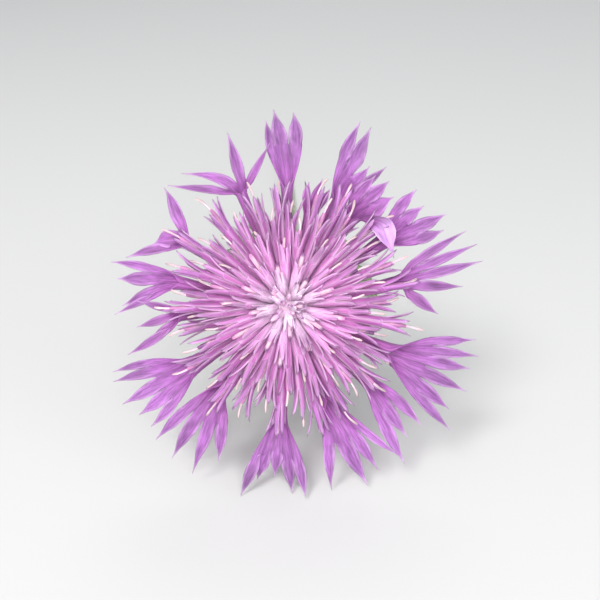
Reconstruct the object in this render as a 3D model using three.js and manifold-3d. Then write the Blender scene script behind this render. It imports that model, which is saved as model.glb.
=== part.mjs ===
// A single cut flower of Centaurea simplicicaulis, lying on a surface.
// The head rests on the tips of its lowest ray florets and the stem lies along +Y behind it.
// Millimetres and degrees, +Z up. The origin is on the surface, under the middle of the whole flower.

import * as THREE from "three";
import { mergeVertices } from "three/addons/utils/BufferGeometryUtils.js";
import Module from "manifold-3d";

// Driving dimensions of the pose
const FACE_TILT = 25; // how far the head's axis rises above the surface
const MOUTH_HEIGHT = 21.6; // height of the middle of the involucre's mouth
const LOBE_CLEARANCE = 0.07; // a lobe's middle stays this high, so that its edge rests on the surface

// Middle of the whole flower seen from above, from the point where the stem first meets the surface
const MIDDLE = [1.21, 3.39];

// Driving dimensions of the stem
const STEM_RADIUS = 1.15;
const NECK_RADIUS = 1.55;
const NECK_STRAIGHT = 4;
const STEM_LYING = 95;
const STEM_SWAY = -4.2; // how far the lying stem has turned aside at its cut end
const STEM_BOW = 1.2; // 1 for a straight turn aside, more for a bowed one
const STEM_GROOVE = 0.86; // radius at a groove, as a share of the radius at a rib
const STEM_FLAT = 22; // half the angle between the two ribs that the stem lies on

// Driving dimensions of the head, along its axis from the mouth of the involucre
const INVOLUCRE_LENGTH = 15;
const INVOLUCRE_RADIUS = 6.4;
const MOUTH_RADIUS = 5.3;
const PIT_DEPTH = 2.8;
const RING_RADII = [3.95, 4.75];
const DISC_RADIUS = 3.6;
const GAP = 0.3; // between pieces that touch

// Driving dimensions of the florets
const RAY_BASE_RADIUS = 4.35;
const RAY_TUBE = [0.36, 0.56, 0.9]; // radius at the base, the middle and the throat
const BLADE = 0.6; // thickness of a lobe
const LOBE_FULLNESS = 0.57; // how far a lobe bulges between its root and its tip
const DISC_COUNT = 80;
const DISC_TUBE = [0.36, 0.54, 0.76]; // radius to a corner at the base, the middle and the throat
const GOLDEN_ANGLE = 137.508;
const DISC_LOBE = 3.3; // length of an outer disc floret's lobes
const DISC_LOBE_SPREAD = 0.9; // distance of a lobe's tip from the floret's own axis
const ROD_LENGTH = 5.6; // anther tube and style, out of a disc floret's throat
const ROD_RADIUS = 0.3;

// Driving dimensions of the leaves
const LEAVES = [
  { name: "leaf_1", y: 5, side: 1, length: 34, turn: [18, 32] },
  { name: "leaf_2", y: 15, side: -1, length: 36, turn: [16, 26] },
];

// The ray florets, anticlockwise as the head faces the viewer. A floret has the direction, radius and
// height of its throat, the share of its fan that stays joined, and the girth of its throat. A lobe
// has the direction, reach and height of its tip, its sideways bow, how far it is rolled about its own
// length, and its width.
const lobe = (direction, reach, height, bow = 0, roll = 0, width = 1.7) => ({
  direction,
  reach,
  height,
  bow,
  roll,
  width,
});
const floret = (direction, reach, height, joined, girth, ...lobes) => ({
  direction,
  reach,
  height,
  joined,
  girth,
  lobes,
});

const RAY_FLORETS = [
  floret(12.6, 15.5, 4.3, 0.26, 0.95,
    lobe(-3, 20, 2.6, -0.8, -20, 1.7),
    lobe(6.4, 24.1, 3.4, -0.4, 0, 1.5),
    lobe(13.1, 27, 3.9, 0, 0, 1.6),
    lobe(18.2, 26.7, 4.6, 0.3, 0, 1.5),
    lobe(23.3, 25.8, 5.4, 0.6, 20, 1.5)),
  floret(34.2, 15.8, 3.5, 0.5, 1.3,
    lobe(25.9, 23.3, 3.4, -0.5, -15, 1.8),
    lobe(30, 24.7, 4.2, 0, 0, 1.9),
    lobe(36.5, 22.6, 5, 0.2, 0, 1.8),
    lobe(42.2, 23.2, 5.4, 0.6, 15, 1.8)),
  floret(54, 14.9, 4, 0.46, 1.2,
    lobe(24, 15.3, 4.6, 1.4, -30, 2.9),
    lobe(46, 20.4, 5, 0, -10, 1.8),
    lobe(50.7, 21.5, 5.4, 0, 0, 2.2),
    lobe(56, 21, 5, 0.3, 10, 1.7)),
  floret(65.5, 15.8, 3.4, 0.48, 1,
    lobe(55, 23, 4.2, -0.6, -20, 1.3),
    lobe(59.6, 21.7, 4.6, -0.3, 0, 1.5),
    lobe(65, 26.7, 3.8, 0, 0, 1.9),
    lobe(68.6, 26.6, 4.8, 0.9, 15, 2.1)),
  floret(77, 12.6, 4.4, 0.36, 0.8,
    lobe(70, 16.6, 5.6, -0.3, 0, 1.2),
    lobe(75, 17.6, 5.8, 0, 0, 1.3),
    lobe(80, 16.8, 5.6, 0.3, 0, 1.2)),
  floret(90.5, 15.7, 4, 0.58, 0.9,
    lobe(88.5, 26.2, 4, -1.2, -15, 2),
    lobe(94.1, 26.5, 3.4, 0, 5, 1.9),
    lobe(97, 25.2, 4.4, 0.3, 25, 1.6)),
  floret(112.5, 17.1, 3.2, 0.24, 0.9,
    lobe(96.5, 21.6, 6.4, -0.8, -10, 0.9),
    lobe(109.4, 24.8, 4.4, -0.3, 0, 1.7),
    lobe(129, 23.2, 3.6, -2.4, 15, 1.5),
    lobe(135.8, 22.7, 4.8, 0.5, 25, 1)),
  floret(148, 16.4, 4.4, 0.36, 1,
    lobe(136.2, 22.8, 4.2, -0.7, -20, 1.4),
    lobe(155, 19.6, 4, -0.2, 5, 2.4),
    lobe(163.4, 22.5, 4.6, -0.6, 20, 1.5)),
  floret(168, 15.4, 3.3, 0.44, 1.1,
    lobe(166, 24.6, 4.6, -0.6, -20, 1.2),
    lobe(171, 23.5, 3.6, 0, 0, 2.2),
    lobe(180, 22.4, 3.2, -0.4, 10, 1.4),
    lobe(183.5, 23.2, 4, -0.8, 20, 1.2)),
  floret(185, 15, 4.5, 0.22, 0.9,
    lobe(178, 20, 5.4, 0, -20, 1.2),
    lobe(188, 20.6, 4.2, 0.3, 0, 1.3),
    lobe(195.4, 19.6, 3.2, 0.6, 10, 1.5),
    lobe(196.9, 22.6, 3.6, 0.9, 15, 1.5)),
  floret(212, 15.1, 3.4, 0.5, 1.5,
    lobe(200.6, 25.1, 4.8, -0.9, -20, 1.2),
    lobe(203.4, 25.8, 4, -0.5, -10, 1.2),
    lobe(210.7, 26.1, 3.2, 0, 0, 1.6),
    lobe(216.3, 25.1, 3.4, 0.2, 0, 1.9),
    lobe(221.4, 24.6, 4.4, 0.6, 15, 1.7)),
  floret(231, 13.9, 4.2, 0.44, 1.15,
    lobe(225.4, 25.6, 3, -0.6, -10, 1.6),
    lobe(232.6, 26, 3.4, -0.2, 0, 1.8),
    lobe(240.5, 26.4, 3, 0, 0, 1.2),
    lobe(245.7, 23, 4.4, 0.6, 15, 1.7)),
  floret(266, 15, 3.4, 0.56, 1.05,
    lobe(256, 26.4, 3.9, -0.3, -10, 1.8),
    lobe(259.9, 24, 3.2, -0.1, 0, 2.1),
    lobe(265.5, 23.2, 3.4, 0, 0, 1.6),
    lobe(271.4, 25.3, 3.2, 0, 0, 1.7),
    lobe(275.5, 25.9, 4.2, 0.4, 15, 1.6)),
  floret(293, 13.9, 4.4, 0.46, 1.2,
    lobe(283.4, 25.8, 3.2, -0.5, -15, 1.2),
    lobe(293.6, 26.5, 2.2, 0, 0, 2),
    lobe(299, 25.1, 3.2, 0.2, 0, 1.8),
    lobe(307, 25, 4.6, -0.7, 20, 1.1)),
  floret(316.5, 15.1, 3.3, 0.42, 1.1,
    lobe(306.5, 26.7, 3.4, -0.5, -15, 1.8),
    lobe(312.3, 23.9, 3.2, -0.2, 0, 1.8),
    lobe(318.6, 24.2, 4.2, 0.3, 15, 1.7)),
  floret(335.3, 15.2, 4.4, 0.46, 1.6,
    lobe(322.6, 27.7, 3.6, -0.6, -20, 1.5),
    lobe(327.4, 26.2, 3.2, -0.3, 0, 1.7),
    lobe(334.5, 26.6, 3.4, 0, 0, 1.6),
    lobe(341, 26, 4, 0.1, 0, 1.9),
    lobe(345.3, 26.6, 4.6, 0.5, 10, 1.3),
    lobe(349.4, 25.6, 5.4, 1, 25, 1.4)),
];

const radians = THREE.MathUtils.degToRad;
const lerp = THREE.MathUtils.lerp;
const tiltSine = Math.sin(radians(FACE_TILT));
const tiltCosine = Math.cos(radians(FACE_TILT));

const wasm = await Module();
wasm.setup();

// The same seed gives the same flower.
function seededDraws(seed) {
  let state = seed >>> 0;
  return () => {
    state = (Math.imul(state, 1664525) + 1013904223) >>> 0;
    return state / 4294967296;
  };
}

// Closed geometry as a solid that can be joined and cut
function solidOf(geometry) {
  const bare = geometry.clone();
  bare.deleteAttribute("normal");
  bare.deleteAttribute("uv");
  const merged = mergeVertices(bare, 1e-4);
  return new wasm.Manifold(
    new wasm.Mesh({
      numProp: 3,
      vertProperties: new Float32Array(merged.getAttribute("position").array),
      triVerts: new Uint32Array(merged.index.array),
    }),
  );
}

function fuse(solids) {
  let left = solids;
  while (left.length > 1) {
    const next = [];
    for (let i = 0; i < left.length; i += 2) {
      next.push(i + 1 < left.length ? left[i].add(left[i + 1]) : left[i]);
    }
    left = next;
  }
  return largestBody(left[0]);
}

// A fused head keeps its one body, without loose scraps or sealed hollows.
function largestBody(solid) {
  const bodies = solid.decompose();
  bodies.sort((a, b) => b.volume() - a.volume());
  return bodies[0];
}

function meshOf(name, solid, material) {
  const mesh = solid.getMesh();
  const geometry = new THREE.BufferGeometry();
  const stride = mesh.numProp;
  const positions = new Float32Array(mesh.numVert * 3);
  for (let i = 0; i < mesh.numVert; i++) {
    positions.set(mesh.vertProperties.subarray(i * stride, i * stride + 3), i * 3);
  }
  geometry.setAttribute("position", new THREE.BufferAttribute(positions, 3));
  geometry.setIndex(new THREE.BufferAttribute(mesh.triVerts, 1));
  geometry.computeVertexNormals();
  const made = new THREE.Mesh(geometry, material);
  made.name = name;
  return made;
}

// A point of the head, by direction round the axis, distance from it and height along it
function headPoint(direction, reach, height) {
  const angle = radians(direction);
  return new THREE.Vector3(reach * Math.cos(angle), reach * Math.sin(angle), height);
}

// A straight prism from z = 0 to z = 1 is bent along a path. sideAt gives the direction of the
// prism's x at each share of the path, and scaleAt the size of its section there.
function bendAlong(prism, path, sideAt, scaleAt) {
  const positions = prism.getAttribute("position");
  const vertex = new THREE.Vector3();
  for (let i = 0; i < positions.count; i++) {
    vertex.fromBufferAttribute(positions, i);
    const share = THREE.MathUtils.clamp(vertex.z, 0, 1);
    const centre = path.getPoint(share);
    const tangent = path.getTangent(share);
    const side = sideAt(share);
    const up = tangent.clone().cross(side).normalize();
    const scale = scaleAt(share);
    centre.addScaledVector(side, vertex.x * scale);
    centre.addScaledVector(up, vertex.y * scale);
    positions.setXYZ(i, centre.x, centre.y, centre.z);
  }
  return prism;
}

function regularOutline(sides) {
  const points = [];
  for (let i = 0; i < sides; i++) {
    const angle = (2 * Math.PI * i) / sides;
    points.push(new THREE.Vector2(Math.cos(angle), Math.sin(angle)));
  }
  return new THREE.Shape(points);
}

function prismOf(outline, steps) {
  return new THREE.ExtrudeGeometry(outline, { depth: 1, steps, bevelEnabled: false });
}

// The radius of a floret's tube: even to the middle, then widening into the throat
function tubeRadius(radii, share) {
  if (share < 0.6) return lerp(radii[0], radii[1], share / 0.6);
  return lerp(radii[1], radii[2], ((share - 0.6) / 0.4) ** 1.5);
}

function tubeSolid(path, side, radii, sides, steps) {
  const prism = prismOf(regularOutline(sides), steps);
  const bent = bendAlong(prism, path, () => side, (share) => tubeRadius(radii, share));
  return solidOf(bent);
}

// A thin sheet with the same triangles on both faces and walls along its edges
class Sheet {
  constructor() {
    this.points = [];
    this.normals = [];
    this.halves = [];
    this.triangles = [];
  }

  point(position, normal, thickness) {
    this.points.push(position);
    this.normals.push(normal.clone().normalize());
    this.halves.push(thickness / 2);
    return this.points.length - 1;
  }

  triangle(a, b, c) {
    this.triangles.push([a, b, c]);
  }

  // Joins two rows of points of equal count.
  strip(row, next) {
    for (let j = 0; j + 1 < row.length; j++) {
      this.triangle(row[j], next[j], next[j + 1]);
      this.triangle(row[j], next[j + 1], row[j + 1]);
    }
  }

  // Closes a row on one point.
  close(row, tip) {
    for (let j = 0; j + 1 < row.length; j++) {
      this.triangle(row[j], tip, row[j + 1]);
    }
  }

  solid() {
    const count = this.points.length;
    const positions = [];
    for (const sign of [1, -1]) {
      this.points.forEach((point, i) => {
        const moved = point.clone().addScaledVector(this.normals[i], sign * this.halves[i]);
        positions.push(moved.x, moved.y, moved.z);
      });
    }
    const index = [];
    const directed = new Set();
    for (const [a, b, c] of this.triangles) {
      index.push(a, b, c, a + count, c + count, b + count);
      [[a, b], [b, c], [c, a]].forEach(([from, to]) => directed.add(from + "," + to));
    }
    for (const key of directed) {
      const [from, to] = key.split(",").map(Number);
      if (directed.has(to + "," + from)) continue;
      index.push(to, from, from + count, to, from + count, to + count);
    }
    const geometry = new THREE.BufferGeometry();
    geometry.setAttribute("position", new THREE.Float32BufferAttribute(positions, 3));
    geometry.setIndex(index);
    return solidOf(geometry);
  }
}

// A point of a floret that would sink into the surface bends forward until it lies on it.
function keepOffFloor(point) {
  const height = point.y * tiltCosine + point.z * tiltSine + MOUTH_HEIGHT;
  if (height < LOBE_CLEARANCE) point.z += (LOBE_CLEARANCE - height) / tiltSine;
  return point;
}

// The tube of a ray floret rises out of the ring, bends over the rim and runs out to its throat.
function rayTubePath(spec) {
  return new THREE.CubicBezierCurve3(
    headPoint(spec.direction, RAY_BASE_RADIUS, -1.6),
    headPoint(spec.direction, RAY_BASE_RADIUS, 4.4),
    headPoint(spec.direction, 8.5, 4.5),
    headPoint(spec.direction, spec.reach, spec.height),
  );
}

function throatRadius(spec) {
  return RAY_TUBE[2] * spec.girth;
}

// Middle lines of a ray floret's lobes, all starting side by side in the throat
function lobeLines(spec, throat, out, side) {
  const count = spec.lobes.length;
  return spec.lobes.map((entry, k) => {
    const across = throatRadius(spec) * ((2 * k + 1) / count - 1);
    const start = throat.clone().addScaledVector(side, across);
    const tip = keepOffFloor(headPoint(entry.direction, entry.reach, entry.height));
    const span = tip.clone().sub(throat);
    const ahead = Math.max(0.5 * span.dot(out), 2.6);
    const control = start.clone().addScaledVector(out, ahead);
    control.addScaledVector(side, 0.36 * span.dot(side) + entry.bow);
    control.z += 0.9;
    return new THREE.QuadraticBezierCurve3(start, control, tip);
  });
}

// Side and face directions of a lobe at a share of its length, with its roll
function lobeFrame(line, share, roll) {
  const along = line.getTangent(share);
  const up = new THREE.Vector3(0, 0, 1);
  const side = up.clone().cross(along).normalize();
  const face = along.clone().cross(side).normalize();
  const turned = radians(roll) * share * share;
  side.applyAxisAngle(along, turned);
  face.applyAxisAngle(along, turned);
  return { side, face };
}

// The fan of a ray floret: joined as far as the notches, then one pointed blade for each lobe
function raySheet(spec, lines) {
  const sheet = new Sheet();
  const count = lines.length;
  const last = count - 1;
  const rows = [0, spec.joined].map((share) => {
    const frames = lines.map((line) => lobeFrame(line, share, 0));
    const middles = lines.map((line) => line.getPoint(share));
    const edge = lerp(throatRadius(spec) / count, 0.36 * spec.lobes[0].width, share / spec.joined);
    const inner = middles[0].clone().addScaledVector(frames[0].side, -edge);
    const row = [sheet.point(inner, frames[0].face, BLADE)];
    for (let k = 0; k < count; k++) {
      row.push(sheet.point(middles[k], frames[k].face, BLADE));
      if (k === last) continue;
      const between = middles[k].clone().add(middles[k + 1]).multiplyScalar(0.5);
      between.z += 0.2 * (share / spec.joined);
      const face = frames[k].face.clone().add(frames[k + 1].face);
      row.push(sheet.point(between, face, BLADE));
    }
    const outer = middles[last].clone().addScaledVector(frames[last].side, edge);
    row.push(sheet.point(outer, frames[last].face, BLADE));
    return row;
  });
  sheet.strip(rows[0], rows[1]);
  lines.forEach((line, k) => {
    addLobe(sheet, line, spec.lobes[k], spec.joined, rows[1].slice(2 * k, 2 * k + 3));
  });
  return sheet;
}

// One lobe past the notches: left edge, middle and right edge at each station, then the tip
function addLobe(sheet, line, entry, joined, root) {
  const middle = sheet.points[root[1]];
  const halfWidths = [root[0], root[2]].map((i) => sheet.points[i].distanceTo(middle));
  let previous = root;
  for (const u of [0.4, 0.75]) {
    const share = lerp(joined, 1, u);
    const { side, face } = lobeFrame(line, share, entry.roll);
    const centre = keepOffFloor(line.getPoint(share));
    const row = [-1, 0, 1].map((sign) => {
      const rootHalf = halfWidths[sign < 0 ? 0 : 1];
      const half = (1 - u) ** 2 * rootHalf + 2 * u * (1 - u) * LOBE_FULLNESS * entry.width;
      const point = centre.clone().addScaledVector(side, sign * half);
      point.addScaledVector(face, 0.25 * Math.abs(sign) * half);
      return sheet.point(keepOffFloor(point), face, BLADE);
    });
    sheet.strip(previous, row);
    previous = row;
  }
  const { face } = lobeFrame(line, 1, entry.roll);
  sheet.close(previous, sheet.point(line.getPoint(1), face, 0.5 * BLADE));
}

function rayFloretSolids(spec) {
  const path = rayTubePath(spec);
  const side = headPoint(spec.direction + 90, 1, 0);
  const radii = [RAY_TUBE[0], RAY_TUBE[1] * Math.sqrt(spec.girth), throatRadius(spec)];
  const tube = tubeSolid(path, side, radii, 4, 5);
  const lines = lobeLines(spec, path.getPoint(0.97), path.getTangent(1), side);
  return [tube, raySheet(spec, lines).solid()];
}

// A turned body round the head's axis
function turned(profile, segments) {
  const points = profile.map(([radius, height]) => new THREE.Vector2(radius, height));
  const geometry = new THREE.LatheGeometry(points, segments);
  geometry.rotateX(Math.PI / 2);
  return solidOf(geometry);
}

function rayRing() {
  const [inner, outer] = RING_RADII;
  const low = -PIT_DEPTH + GAP;
  return turned([[inner, low], [outer, low], [outer, -0.7], [inner, -0.7], [inner, low]], 29);
}

// The disc florets stand in the spiral of the receptacle: upright in the middle, leaning out to the rim.
function discFlorets() {
  const draw = seededDraws(61);
  const specs = [];
  for (let i = 0; i < DISC_COUNT; i++) {
    const q = Math.sqrt((i + 0.5) / DISC_COUNT);
    specs.push({
      q,
      direction: i * GOLDEN_ANGLE + 2 * (draw() - 0.5),
      reach: 0.6 + 12.2 * q ** 1.25 * (0.95 + 0.1 * draw()),
      height: 8.8 - 1.6 * q * q + 1.2 * (draw() - 0.5),
      lobe: DISC_LOBE * (0.45 + 0.55 * q),
      rod: ROD_LENGTH * (0.35 + 0.65 * q) * (0.8 + 0.4 * draw()),
      turn: 120 * draw(),
    });
  }
  return specs;
}

function discTubePath(spec) {
  const base = (DISC_RADIUS - 0.4) * spec.q;
  return new THREE.QuadraticBezierCurve3(
    headPoint(spec.direction, base, -1),
    headPoint(spec.direction, 1.05 * base, 7.0 + 0.9 * spec.q),
    headPoint(spec.direction, spec.reach, spec.height),
  );
}

// A disc floret is one closed skin: the tube, a lobe on each side of its throat, and the rod in the
// middle of them.
function discFloretSolid(spec) {
  const path = discTubePath(spec);
  const side = headPoint(spec.direction + 90, 1, 0);
  const sides = 4;
  const positions = [];
  const index = [];
  const addRing = (centre, out, radius) => {
    const up = out.clone().cross(side).normalize();
    const first = positions.length / 3;
    for (let k = 0; k < sides; k++) {
      const angle = radians(spec.turn) + (2 * Math.PI * k) / sides;
      const point = centre.clone().addScaledVector(side, radius * Math.cos(angle));
      point.addScaledVector(up, radius * Math.sin(angle));
      positions.push(point.x, point.y, point.z);
    }
    return first;
  };
  const join = (lower, upper) => {
    for (let k = 0; k < sides; k++) {
      const next = (k + 1) % sides;
      index.push(lower + k, lower + next, upper + next, lower + k, upper + next, upper + k);
    }
  };
  const rings = [0, 0.33, 0.64, 1].map((share) => {
    return addRing(path.getPoint(share), path.getTangent(share), tubeRadius(DISC_TUBE, share));
  });
  const [base, , , throat] = rings;
  const out = path.getTangent(1);
  const rodFoot = addRing(path.getPoint(0.97), out, ROD_RADIUS);
  const rodTop = addRing(path.getPoint(1).addScaledVector(out, spec.rod), out, 0.8 * ROD_RADIUS);
  index.push(base, base + 2, base + 1, base, base + 3, base + 2);
  rings.slice(1).forEach((ring, k) => join(rings[k], ring));
  join(rodFoot, rodTop);
  index.push(rodTop, rodTop + 1, rodTop + 2, rodTop, rodTop + 2, rodTop + 3);
  const up = out.clone().cross(side).normalize();
  for (let k = 0; k < sides; k++) {
    const next = (k + 1) % sides;
    const angle = radians(spec.turn) + (2 * Math.PI * (k + 0.5)) / sides;
    const tip = path.getPoint(1).addScaledVector(out, spec.lobe);
    tip.addScaledVector(side, DISC_LOBE_SPREAD * Math.cos(angle));
    tip.addScaledVector(up, DISC_LOBE_SPREAD * Math.sin(angle));
    const point = positions.length / 3;
    positions.push(tip.x, tip.y, tip.z);
    index.push(throat + k, throat + next, point);
    index.push(throat + next, rodFoot + next, point);
    index.push(rodFoot + next, rodFoot + k, point);
    index.push(rodFoot + k, throat + k, point);
  }
  const geometry = new THREE.BufferGeometry();
  geometry.setAttribute("position", new THREE.Float32BufferAttribute(positions, 3));
  geometry.setIndex(index);
  return solidOf(geometry);
}

// The feet of the disc florets stand so close that they are one mass up to this outline.
const DISC_CORE = [[DISC_RADIUS, 0.2], [3.7, 1.4], [4.1, 3.2], [3.4, 5.0], [1.9, 6.0], [0, 6.4]];

function discCore() {
  const low = -PIT_DEPTH + GAP;
  return turned([[0, low], [DISC_RADIUS, low], ...DISC_CORE], 13);
}

// Radius of the involucre's outer surface at a height below its mouth
function involucreRadius(height) {
  const share = (height + INVOLUCRE_LENGTH) / INVOLUCRE_LENGTH;
  return INVOLUCRE_RADIUS * Math.sqrt(Math.sin(Math.PI * (0.06 + 0.62 * share)));
}

function involucreBody() {
  const outline = [[0, -INVOLUCRE_LENGTH], [NECK_RADIUS, -INVOLUCRE_LENGTH]];
  for (const height of [-14.6, -13.4, -11.4, -8.6, -5.4, -2.4, -0.3]) {
    outline.push([involucreRadius(height), height]);
  }
  outline.push([MOUTH_RADIUS, -0.3], [MOUTH_RADIUS, -PIT_DEPTH], [0, -PIT_DEPTH]);
  return turned(outline, 20);
}

// One bract: its root inside the body, its back ridged, its tip free and pointed
function bractSolid(direction, foot, length, width) {
  const pointAt = (share, lift, across) => {
    const height = foot + length * share;
    const radius = involucreRadius(Math.min(height, -0.3)) + lift;
    return headPoint(direction + THREE.MathUtils.radToDeg(across / radius), radius, height);
  };
  const corners = [
    pointAt(0, -0.5, -0.36 * width),
    pointAt(0, -0.5, 0.36 * width),
    pointAt(0.58, -0.12, 0.5 * width),
    pointAt(1, 0.55, 0),
    pointAt(0.58, -0.12, -0.5 * width),
  ];
  const ridge = pointAt(0.6, 0.62, 0);
  const root = pointAt(0.3, -0.7, 0);
  const geometry = new THREE.BufferGeometry();
  geometry.setFromPoints([...corners, ridge, root]);
  const index = [];
  corners.forEach((_, k) => {
    const next = (k + 1) % corners.length;
    index.push(k, next, 5, next, k, 6);
  });
  geometry.setIndex(index);
  return solidOf(geometry);
}

const BRACT_ROWS = [
  { foot: -14.3, length: 2.8, width: 2.3, count: 8 },
  { foot: -13.0, length: 3.3, width: 2.7, count: 10 },
  { foot: -11.2, length: 3.8, width: 2.9, count: 11 },
  { foot: -9.0, length: 4.3, width: 3.0, count: 11 },
  { foot: -6.6, length: 4.6, width: 3.0, count: 11 },
  { foot: -4.2, length: 4.9, width: 2.8, count: 12 },
];

function involucreSolid() {
  const solids = [involucreBody()];
  BRACT_ROWS.forEach((row, j) => {
    for (let i = 0; i < row.count; i++) {
      const direction = (360 * (i + 0.5 * (j % 2))) / row.count + 11 * j;
      solids.push(bractSolid(direction, row.foot, row.length, row.width));
    }
  });
  return fuse(solids);
}

// The stem's middle line: straight out of the head, down in one arc, then along the surface
const stemFloor = STEM_RADIUS * Math.cos(radians(STEM_FLAT));
const straightEnd = INVOLUCRE_LENGTH + GAP + NECK_STRAIGHT;
const arcRadius = (MOUTH_HEIGHT - straightEnd * tiltSine - stemFloor) / (1 - tiltCosine);
const mouthY = -arcRadius * tiltSine - straightEnd * tiltCosine;

function stemAside(y) {
  return STEM_SWAY * (y / STEM_LYING) ** STEM_BOW;
}

class StemPath extends THREE.Curve {
  constructor() {
    super();
    this.lengths = [NECK_STRAIGHT, arcRadius * radians(FACE_TILT), STEM_LYING];
    this.total = this.lengths.reduce((sum, length) => sum + length, 0);
  }

  getPoint(share, target = new THREE.Vector3()) {
    const distance = share * this.total;
    const [straight, arc] = this.lengths;
    if (distance < straight) {
      const back = INVOLUCRE_LENGTH + GAP + distance;
      return target.set(0, mouthY + back * tiltCosine, MOUTH_HEIGHT - back * tiltSine);
    }
    if (distance < straight + arc) {
      const left = (straight + arc - distance) / arcRadius;
      return target.set(0, -arcRadius * Math.sin(left), stemFloor + arcRadius * (1 - Math.cos(left)));
    }
    const y = distance - straight - arc;
    return target.set(stemAside(y), y, stemFloor);
  }
}

// Five ribs with grooves between them, except underneath, where two ribs hold a flat face
function stemOutline() {
  const ribs = [-90 - STEM_FLAT, -90 + STEM_FLAT, 8, 90, 172];
  const points = [];
  ribs.forEach((angle, i) => {
    points.push([angle, 1]);
    if (i === 0) return;
    const next = i + 1 < ribs.length ? ribs[i + 1] : ribs[0] + 360;
    points.push([(angle + next) / 2, STEM_GROOVE]);
  });
  return new THREE.Shape(
    points.map(([angle, radius]) => {
      return new THREE.Vector2(radius * Math.cos(radians(angle)), radius * Math.sin(radians(angle)));
    }),
  );
}

function stemSolid() {
  const path = new StemPath();
  const steps = 26;
  const across = (share) => {
    const tangent = path.getTangent(share);
    return new THREE.Vector3(-tangent.y, tangent.x, 0).normalize();
  };
  const scale = (share) => {
    const fromHead = share * path.total;
    return lerp(NECK_RADIUS, STEM_RADIUS, Math.min(1, fromHead / 30));
  };
  const prism = prismOf(stemOutline(), steps);
  return solidOf(bendAlong(prism, path, across, scale));
}

// One half of a leaf's edge, as a share of the leaf's length and a distance from the midrib
const LEAF_EDGE = [
  [0, 0.9], [0.12, 0.7], [0.22, 1.0],
  [0.29, 3.2], [0.38, 6.2], [0.37, 3.2], [0.35, 1.1],
  [0.43, 1.2], [0.5, 3.6], [0.59, 6.4], [0.58, 3.4], [0.56, 1.4],
  [0.62, 1.7], [0.72, 3.1], [0.84, 2.7], [0.93, 1.5],
];
const LEAF_SPAN = 40; // length of the leaf that these widths are drawn for
const LEAF_MIDRIB = [0, 0.12, 0.22, 0.35, 0.43, 0.56, 0.62, 0.72, 0.84, 0.93];

// The leaf's midrib leaves the stem, turns outward and arches down to the surface.
function leafPath(leaf) {
  const [first, second] = leaf.turn.map(radians);
  const footHalf = (1.1 * LEAF_EDGE[0][1] * leaf.length) / LEAF_SPAN;
  const startX = stemAside(leaf.y) + leaf.side * (STEM_RADIUS + GAP + footHalf);
  const start = new THREE.Vector3(startX, leaf.y, 1.5);
  const step = (angle, distance, height) =>
    new THREE.Vector3(leaf.side * distance * Math.sin(angle), -distance * Math.cos(angle), height);
  const control = start.clone().add(step(first, 0.5 * leaf.length, 4.6));
  const end = start.clone().add(step(0.5 * (first + second), leaf.length, 0));
  end.z = 0.52 * BLADE;
  return new THREE.QuadraticBezierCurve3(start, control, end);
}

function leafSolid(leaf) {
  const path = leafPath(leaf);
  const sheet = new Sheet();
  const pointAt = (share, across) => {
    const centre = path.getPoint(share);
    const along = path.getTangent(share);
    const side = new THREE.Vector3(-along.y, along.x, 0).normalize();
    const face = along.clone().cross(side).normalize();
    centre.addScaledVector(side, across);
    centre.z = Math.max(centre.z + 0.16 * Math.abs(across), 0.52 * BLADE);
    return sheet.point(centre, face, BLADE);
  };
  const scale = leaf.length / LEAF_SPAN;
  const midrib = LEAF_MIDRIB.map((share) => pointAt(share, 0));
  const tip = pointAt(1, 0);
  for (const sign of [-1, 1]) {
    const edge = LEAF_EDGE.map(([share, width]) => pointAt(share, sign * width * scale));
    const flat = LEAF_EDGE.map(([share, width]) => new THREE.Vector2(share * LEAF_SPAN, width));
    flat.push(new THREE.Vector2(LEAF_SPAN, 0));
    for (const share of [...LEAF_MIDRIB].reverse()) {
      flat.push(new THREE.Vector2(share * LEAF_SPAN, 0));
    }
    const order = [...edge, tip, ...[...midrib].reverse()];
    for (const [a, b, c] of THREE.ShapeUtils.triangulateShape(flat, [])) {
      const turn = THREE.ShapeUtils.area([flat[a], flat[b], flat[c]]) * sign;
      sheet.triangle(order[a], turn > 0 ? order[b] : order[c], turn > 0 ? order[c] : order[b]);
    }
  }
  return sheet.solid();
}

const materials = {
  ray: new THREE.MeshStandardMaterial({ color: 0xcb82e4, roughness: 0.62, metalness: 0 }),
  disc: new THREE.MeshStandardMaterial({ color: 0xe79ad6, roughness: 0.6, metalness: 0 }),
  bracts: new THREE.MeshStandardMaterial({ color: 0x7f8f5c, roughness: 0.7, metalness: 0 }),
  stem: new THREE.MeshStandardMaterial({ color: 0x77875a, roughness: 0.7, metalness: 0 }),
  leaf: new THREE.MeshStandardMaterial({ color: 0x5f7a4a, roughness: 0.75, metalness: 0 }),
};

const head = new THREE.Group();
head.add(meshOf("ray_florets", fuse([rayRing(), ...RAY_FLORETS.flatMap(rayFloretSolids)]), materials.ray));
head.add(meshOf("disc_florets", fuse([discCore(), ...discFlorets().map(discFloretSolid)]), materials.disc));
head.add(meshOf("involucre", involucreSolid(), materials.bracts));
head.rotation.x = radians(90 - FACE_TILT);
head.position.set(0, mouthY, MOUTH_HEIGHT);

const flower = new THREE.Group();
flower.add(head);
flower.add(meshOf("stem", stemSolid(), materials.stem));
LEAVES.forEach((leaf) => flower.add(meshOf(leaf.name, leafSolid(leaf), materials.leaf)));

flower.position.set(-MIDDLE[0], -MIDDLE[1], 0);

export default flower;
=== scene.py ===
import math

import bpy
import numpy as np
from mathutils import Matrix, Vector, geometry


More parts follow.
